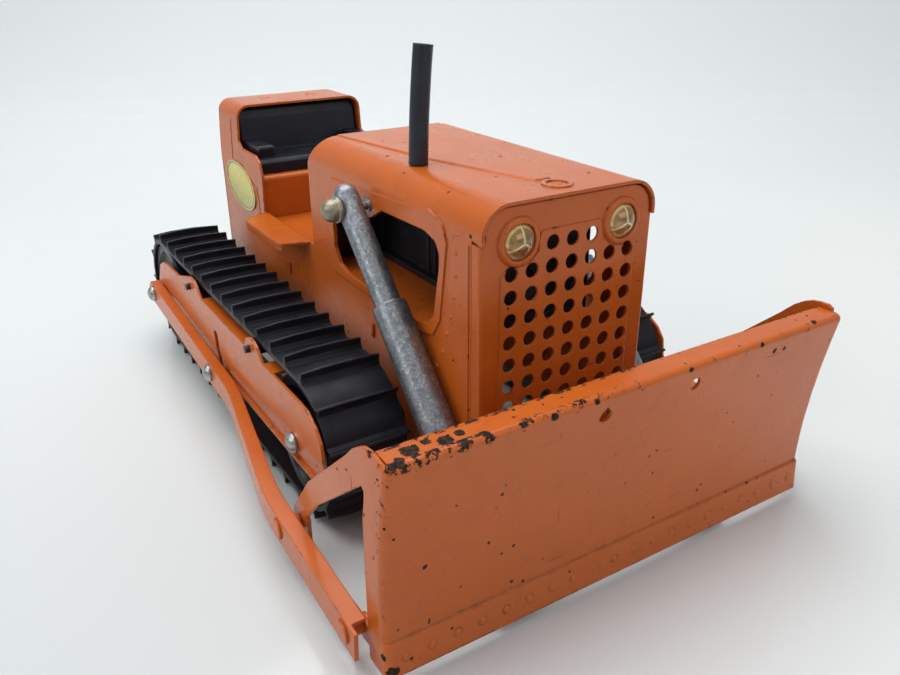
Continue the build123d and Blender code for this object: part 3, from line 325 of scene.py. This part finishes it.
# ------------------------------------------------------------- other materials
def plain_black(name, rough, tone=(0.012, 0.0125, 0.017), dust=0.3, grain=900, bumpy=0.12,
                bevel=0.0006, edge_light=0.25, light=(0.085, 0.09, 0.105), spec=0.38):
    """Black plastic or rubber with fine grain. light is the colour of the film of dust and of the
    edges, worn and painted as a highlight, and edge_light is how strongly the edges show it."""
    net = Net(name)
    color = net.mix(net.noise(scale=60).ramp(0.35, 0.75), tone, scaled(tone, 1.7))
    film = net.noise(scale=130, detail=6, rough=0.7, dist=0.6).ramp(0.50, 0.80)
    color = net.mix(film * dust, color, light)
    # Edges are lightened, partly as wear and partly as a painted highlight.
    edge_wear_and_highlight = net.edges(radius=0.0010) * net.noise(scale=210, rough=0.6).ramp(
        0.38, 0.62, to=(0.25, 1))
    color = net.mix(edge_wear_and_highlight * edge_light, color, light)
    specks = net.cells(scale=760).fall(0.03, 0.08) * net.noise(
        scale=70, detail=2).ramp(0.52, 0.62)
    color = net.mix(specks * (0.5 * dust), color, over=(0.22, 0.22, 0.23))
    gloss = net.noise(scale=85, detail=5, rough=0.6).ramp(
        0.3, 0.75, to=(rough - 0.06, rough + 0.12))
    height = net.noise(scale=grain, detail=3, rough=0.6) + net.noise(scale=120, detail=2) * 0.8
    return net.finish(
        color=color, rough=gloss + specks * 0.2, coat_rough=0.10, spec=spec,
        normal=net.bump(height, strength=bumpy, distance=0.00018, bevel=bevel))


def worn_steel(name, tint, dark, rough, spangle, metal, streak_tilt=None):
    """Dull mottled plating with glinting grains (spangle is their strength) and dark pits.
    streak_tilt turns the streaks about X; without it there are none."""
    net = Net(name)
    mottle = net.noise(scale=420, detail=6, rough=0.75, dist=0.3).ramp(0.36, 0.66)
    color = net.mix(mottle, dark, tint)
    color = net.mix(net.noise(scale=65, rough=0.6).ramp(0.40, 0.70, to=(0, 0.35)),
                    color, scaled(tint, 0.62))
    grains = net.add("ShaderNodeRGBToBW", {0: net.cells(scale=1700, out="Color")})
    color = net.mix(grains.ramp(0.60, 0.85) * (0.34 * spangle), color, over=(0.60, 0.61, 0.63))
    if streak_tilt is not None:
        along = net.place(scale=(900, 900, 30), turn=(streak_tilt, 0, 0))
        streaks = net.noise(scale=1, detail=3, rough=0.6, vector=along).ramp(0.54, 0.70)
        color = net.mix(streaks * 0.22, color, over=(0.46, 0.47, 0.48))
    pits = net.noise(scale=900, rough=0.65).ramp(0.62, 0.67) * net.noise(
        scale=95, detail=2).ramp(0.46, 0.6)
    color = net.mix(pits, color, over=(0.050, 0.045, 0.042))
    color = net.mix(net.edges(radius=0.0006) * 0.35, color, over=(0.72, 0.72, 0.72))
    gloss = net.noise(scale=500, detail=5, rough=0.7).ramp(
        0.3, 0.72, to=(rough - 0.07, rough + 0.12)) + pits * 0.25
    height = grains * 0.55 + net.noise(scale=800, rough=0.65) * 0.6 - pits * 0.8
    return net.finish(
        color=color, rough=gloss, metal=metal - pits * 0.6,
        normal=net.bump(height, strength=0.38, distance=0.00008, bevel=0.0004))


def amber_jewel(name, center_x, center_z):
    """Moulded amber lens, one each side of X = 0: three ridges meeting in the middle, with a
    painted highlight along each, a gilt rim and a darker centre. The centre is in mm."""
    net = Net(name)
    across, _, height = net.xyz()
    side = abs(across) - center_x * MM
    rise = height - center_z * MM
    radius = side.length(rise)
    ridges = []
    for degrees in (90, 210, 330):
        cosine, sine = math.cos(math.radians(degrees)), math.sin(math.radians(degrees))
        along = side * cosine + rise * sine
        off_line = abs(side * sine - rise * cosine)
        ridges.append(off_line.fall(0.00010, 0.00055) * along.ramp(-0.0002, 0.0003))
    ridge = strongest(ridges)
    rim = radius.ramp(0.0036, 0.0040)
    color = net.mix(net.noise(scale=240, rough=0.6).ramp(0.35, 0.70),
                    under=(0.30, 0.150, 0.040), over=(0.52, 0.300, 0.095))
    color = net.mix(radius.ramp(0, 0.0030, to=(0.55, 0)), color, over=(0.20, 0.110, 0.045))
    # Painted highlight: the ridges are coloured pale as if catching the light.
    color = net.mix(ridge * 0.85, color, over=(0.95, 0.76, 0.42))
    color = net.mix(rim * 0.9, color, over=(0.86, 0.62, 0.24))
    dirt_and_shade = net.noise(scale=700, detail=3).ramp(0.60, 0.70, to=(0, 0.5))
    color = net.mix(dirt_and_shade, color, over=(0.20, 0.09, 0.02))
    relief = ridge * 1.0 + net.noise(scale=500, detail=2) * 0.25
    return net.finish(
        color=color, rough=net.noise(scale=420, detail=3).ramp(0.3, 0.75, to=(0.08, 0.22)),
        metal=0.45, trans=0.15, ior=1.5, coat=0.8, coat_rough=0.05,
        normal=net.bump(relief, strength=0.7, distance=0.00035, bevel=0.0003))


def badge(name, center_y, center_z, tilt, radius_y, radius_z):
    """Plain oval transfer, in mm: yellow-green field, darker towards the bottom, gilt rim."""
    net = Net(name)
    centered = net.place(shift=(0, -frame_y(center_y), -center_z * MM))
    _, depth, height = net.xyz(net.place(turn=(-tilt, 0, 0), vector=centered))
    rise = height / (radius_z * MM)
    radius = (depth / (radius_y * MM)).length(rise)
    field = net.mix(rise.ramp(-0.7, 0.6), under=(0.50, 0.47, 0.045), over=(0.78, 0.66, 0.10))
    field = net.mix(net.noise(scale=120, detail=5, rough=0.6).ramp(0.5, 0.8, to=(0, 0.45)),
                    field, over=(0.50, 0.40, 0.06))
    field = net.mix(radius.ramp(0.84, 0.88), field, over=(0.30, 0.30, 0.03))
    rim = radius.ramp(0.93, 0.96)
    gilt = net.mix(net.noise(scale=500, detail=3).ramp(0.4, 0.65),
                   under=(0.55, 0.38, 0.12), over=(0.80, 0.62, 0.28))
    scuff = net.noise(scale=330, detail=5, rough=0.7).ramp(0.62, 0.68) * 0.6
    return net.finish(
        color=net.mix(scuff, net.mix(rim, field, gilt), over=(0.60, 0.22, 0.06)),
        metal=rim * 0.7, rough=net.noise(scale=90).ramp(0.3, 0.7, to=(0.24, 0.42)),
        normal=net.bump(net.noise(scale=600, detail=3), strength=0.12, distance=0.0001,
                        bevel=0.0003),
        coat=0.25, coat_rough=0.2)


def paint(material, *names):
    for name in names:
        slots = NODES[name].data.materials
        slots.clear()
        slots.append(material)


paint(orange_paint("orange_body", wear=0.30, speck=0.7, spots=BODY_SPOTS),
      "body_shell", "rear_panel", "chassis_channel", "seat_panel")
paint(orange_paint("orange_grille", wear=0.28, speck=0.5), "grille_plate")
paint(orange_paint("orange_blade", wear=0.85, speck=0.9, spots=BLADE_SPOTS, blade=True),
      "blade", "cylinder_bracket_left", "cylinder_bracket_right")
paint(orange_paint("orange_frames", wear=0.55, speck=0.8),
      "push_arm_left", "push_arm_right", "side_frame_left", "side_frame_right", "arm_rivets")

paint(plain_black("track_rubber", rough=0.40, tone=(0.0080, 0.0082, 0.0125), dust=0.20,
                  grain=1100, bumpy=0.20, edge_light=0.50, light=(0.060, 0.063, 0.082),
                  spec=0.28),
      "track_belt_left", "track_belt_right")
paint(plain_black("seat_plastic", rough=0.30, tone=(0.0080, 0.0086, 0.0155), dust=0.07,
                  grain=1500, bumpy=0.07, bevel=0.0011, edge_light=0.15, spec=0.30),
      "seat")
paint(plain_black("wheel_plastic", rough=0.36, dust=0.35, edge_light=0.3),
      "front_wheel_left", "front_wheel_right", "rear_wheel_left", "rear_wheel_right",
      "axle_spacers", "track_pegs")
paint(plain_black("engine_plastic", rough=0.34, tone=(0.012, 0.0125, 0.016), dust=0.45,
                  edge_light=0.35),
      "engine_block")
paint(plain_black("stack_rubber", rough=0.30, tone=(0.0135, 0.0150, 0.0235), dust=0.12,
                  grain=1400, bumpy=0.10, edge_light=0.3, light=(0.07, 0.08, 0.11)),
      "exhaust_stack")

paint(worn_steel("cylinder_steel", tint=(0.275, 0.290, 0.315), dark=(0.175, 0.185, 0.205),
                 rough=0.37, spangle=1.1, metal=0.84, streak_tilt=-math.radians(136.5)),
      "lift_rod_left", "lift_rod_right", "lift_sleeve_left", "lift_sleeve_right",
      "lower_pin_left", "lower_pin_right", "lift_cross_pin")
paint(worn_steel("rivet_zinc", tint=(0.58, 0.58, 0.56), dark=(0.26, 0.25, 0.24),
                 rough=0.30, spangle=0.6, metal=0.95),
      "guide_rivets", "axle_caps", "front_axle", "rear_axle")
paint(worn_steel("nut_yellow_zinc", tint=(0.40, 0.375, 0.27), dark=(0.25, 0.225, 0.15),
                 rough=0.38, spangle=0.5, metal=0.80),
      "cap_nuts")
paint(amber_jewel("lamp_amber", center_x=16.6, center_z=88.9), "head_lamps")
paint(badge("oval_badge", center_y=174.4, center_z=67.6, tilt=math.radians(10),
            radius_y=16.6, radius_z=9.0),
      "side_badge")


# ---------------------------------------------------------- smoother shading
def smooth_by_angle(obj, degrees):
    """Welds seams and smooths across shallow angles in a modifier, leaving the mesh as is."""
    attributes = obj.data.attributes
    if "custom_normal" in attributes:
        attributes.remove(attributes["custom_normal"])
    group = bpy.data.node_groups.new("smooth_" + obj.name, "GeometryNodeTree")
    for in_out in ("INPUT", "OUTPUT"):
        group.interface.new_socket("Geometry", in_out=in_out, socket_type="NodeSocketGeometry")
    new, link = group.nodes.new, group.links.new
    start, end = new("NodeGroupInput"), new("NodeGroupOutput")
    weld = new("GeometryNodeMergeByDistance")
    weld.inputs["Distance"].default_value = 2e-6
    faces = new("GeometryNodeSetShadeSmooth")
    faces.domain = "FACE"
    edges = new("GeometryNodeSetShadeSmooth")
    edges.domain = "EDGE"
    edges.inputs["Shade Smooth"].default_value = False
    angle = new("GeometryNodeInputMeshEdgeAngle")
    sharp = new("FunctionNodeCompare")
    sharp.data_type = "FLOAT"
    sharp.operation = "GREATER_THAN"
    sharp.inputs[1].default_value = math.radians(degrees)
    link(angle.outputs["Unsigned Angle"], sharp.inputs[0])
    link(start.outputs[0], weld.inputs["Geometry"])
    link(weld.outputs[0], faces.inputs["Geometry"])
    link(faces.outputs[0], edges.inputs["Geometry"])
    link(sharp.outputs[0], edges.inputs["Selection"])
    link(edges.outputs[0], end.inputs[0])
    obj.modifiers.new("smooth", "NODES").node_group = group


smooth_by_angle(NODES["blade"], degrees=14)

# --------------------------------------------------------- floor and backdrop
FLOOR_FRONT, FLOOR_BACK = -6.0, 0.85    # metres, the flat part
CURVE_RADIUS, CURVE_STEPS = 0.65, 24
WALL_TOP, HALF_WIDTH = 4.0, 7.0
STUDIO_TINT = (0.93, 0.975, 1.0)


def pale_board():
    net = Net("pale_board")
    color = net.mix(net.noise(scale=3, detail=3).ramp(0.3, 0.7),
                    under=(0.700, 0.730, 0.735), over=(0.730, 0.757, 0.760))
    far = net.xyz()[1]
    side = net.xyz()[0]
    # Painted shade: the floor nearest the camera is darkened on the left of the view, under and
    # in front of the dozer.
    color = net.mix(far.fall(-0.25, 0.20) * side.fall(-0.06, 0.14), color,
                    over=(0.560, 0.585, 0.590))
    # Painted light: the floor on the right of the view, from the middle forward, is lightened.
    color = net.mix(far.fall(0, 0.6) * side.ramp(0.06, 0.26), color, over=(0.82, 0.82, 0.80))
    # Painted light: the floor lightens towards the back and up the curve.
    color = net.mix(far.ramp(0.15, 0.9), color, over=(0.77, 0.80, 0.81))
    smear = net.noise(scale=9, detail=5, rough=0.6, dist=1.2).ramp(0.45, 0.75)
    # The glow is painted light: the back of the floor and the wall emit faintly, more with
    # distance.
    return net.finish(
        color=color, rough=net.blend(smear, under=0.10, over=0.20), spec=0.38,
        glow=STUDIO_TINT, glow_strength=far.ramp(0.25, 1.1, to=(0, 0.03)),
        normal=net.bump(net.noise(scale=14, detail=2), strength=0.02, distance=0.002))


def sweep_floor():
    """One continuous sheet: floor, a wide curve, and a wall behind."""
    profile = [(FLOOR_FRONT, 0.0), (0.0, 0.0), (FLOOR_BACK, 0.0)]
    for i in range(1, CURVE_STEPS + 1):
        angle = math.radians(90 * i / CURVE_STEPS)
        profile.append((FLOOR_BACK + CURVE_RADIUS * math.sin(angle),
                        CURVE_RADIUS - CURVE_RADIUS * math.cos(angle)))
    profile.append((FLOOR_BACK + CURVE_RADIUS, WALL_TOP))
    sheet = bmesh.new()
    low, high = [[sheet.verts.new((x, y, z)) for y, z in profile]
                 for x in (-HALF_WIDTH, HALF_WIDTH)]
    for i in range(len(profile) - 1):
        sheet.faces.new((low[i], high[i], high[i + 1], low[i + 1]))
    mesh = bpy.data.meshes.new("floor")
    sheet.to_mesh(mesh)
    sheet.free()
    for face in mesh.polygons:
        face.use_smooth = True
    floor = bpy.data.objects.new("floor", mesh)
    scene.collection.objects.link(floor)
    floor.rotation_euler = (0, 0, math.radians(-32))
    floor.location = (0, frame_y(0), 0)
    mesh.materials.append(pale_board())


sweep_floor()


# ----------------------------------------------------------- lights and world
def area(name, location, target, size, watts, color):
    light = bpy.data.lights.new(name, "AREA")
    light.shape = "RECTANGLE"
    light.size, light.size_y = size
    light.energy = watts
    light.color = color
    lamp = bpy.data.objects.new(name, light)
    scene.collection.objects.link(lamp)
    lamp.location = location
    lamp.rotation_mode = "QUATERNION"
    aim = Vector(target) - Vector(location)
    lamp.rotation_quaternion = aim.to_track_quat("-Z", "Y")


area("overhead", location=(-0.10, 0.30, 1.25), target=(0, 0, 0.05), size=(1.4, 1.1),
     watts=14.5, color=(1.0, 0.985, 0.96))
area("left_bank", location=(-1.10, 0.10, 0.62), target=(0, 0, 0.05), size=(0.7, 0.6),
     watts=2.5, color=(0.96, 0.98, 1.0))
area("front_fill", location=(0.25, -1.15, 0.50), target=(0, -0.08, 0.05), size=(0.8, 0.5),
     watts=1.3, color=(1.0, 0.98, 0.96))


def studio_world():
    """A pale sky that brightens with height."""
    world = bpy.data.worlds.new("studio")
    scene.world = world
    world.use_nodes = True
    tree = world.node_tree
    sky = tree.nodes["Background"]
    sky.inputs[0].default_value = (*STUDIO_TINT, 1.0)
    coords = tree.nodes.new("ShaderNodeTexCoord")
    split = tree.nodes.new("ShaderNodeSeparateXYZ")
    ramp = tree.nodes.new("ShaderNodeMapRange")
    limits = {"From Min": 0.05, "From Max": 0.75, "To Min": 0.40, "To Max": 0.63}
    for key, value in limits.items():
        ramp.inputs[key].default_value = value
    tree.links.new(coords.outputs["Generated"], split.inputs[0])
    tree.links.new(split.outputs[2], ramp.inputs["Value"])
    tree.links.new(ramp.outputs[0], sky.inputs[1])


studio_world()
view = scene.view_settings
view.view_transform = "Standard"
view.look = "None"
view.exposure = 0.0
view.gamma = 1.0

# --------------------------------------------------------------------- camera
AZIMUTH = math.radians(-31.924)     # from -Y, negative towards -X
ELEVATION = math.radians(24.636)
ROLL = math.radians(-0.327)
CAMERA_PLACE = (-0.13248, -0.15440 + GRILLE_Y * MM, 0.15160)

back = Vector((math.sin(AZIMUTH) * math.cos(ELEVATION),
               -math.cos(AZIMUTH) * math.cos(ELEVATION), math.sin(ELEVATION)))
level = (-back).cross(Vector((0, 0, 1))).normalized()
upright = level.cross(-back)
right = level * math.cos(ROLL) + upright * math.sin(ROLL)
up = -level * math.sin(ROLL) + upright * math.cos(ROLL)
pose = Matrix((right, up, back)).transposed().to_4x4()
pose.translation = CAMERA_PLACE

lens = bpy.data.cameras.new("camera")
camera = bpy.data.objects.new("camera", lens)
scene.collection.objects.link(camera)
camera.matrix_world = pose
lens.sensor_width = 36.0
lens.lens = 33.126
lens.clip_start, lens.clip_end = 0.005, 30.0
scene.camera = camera
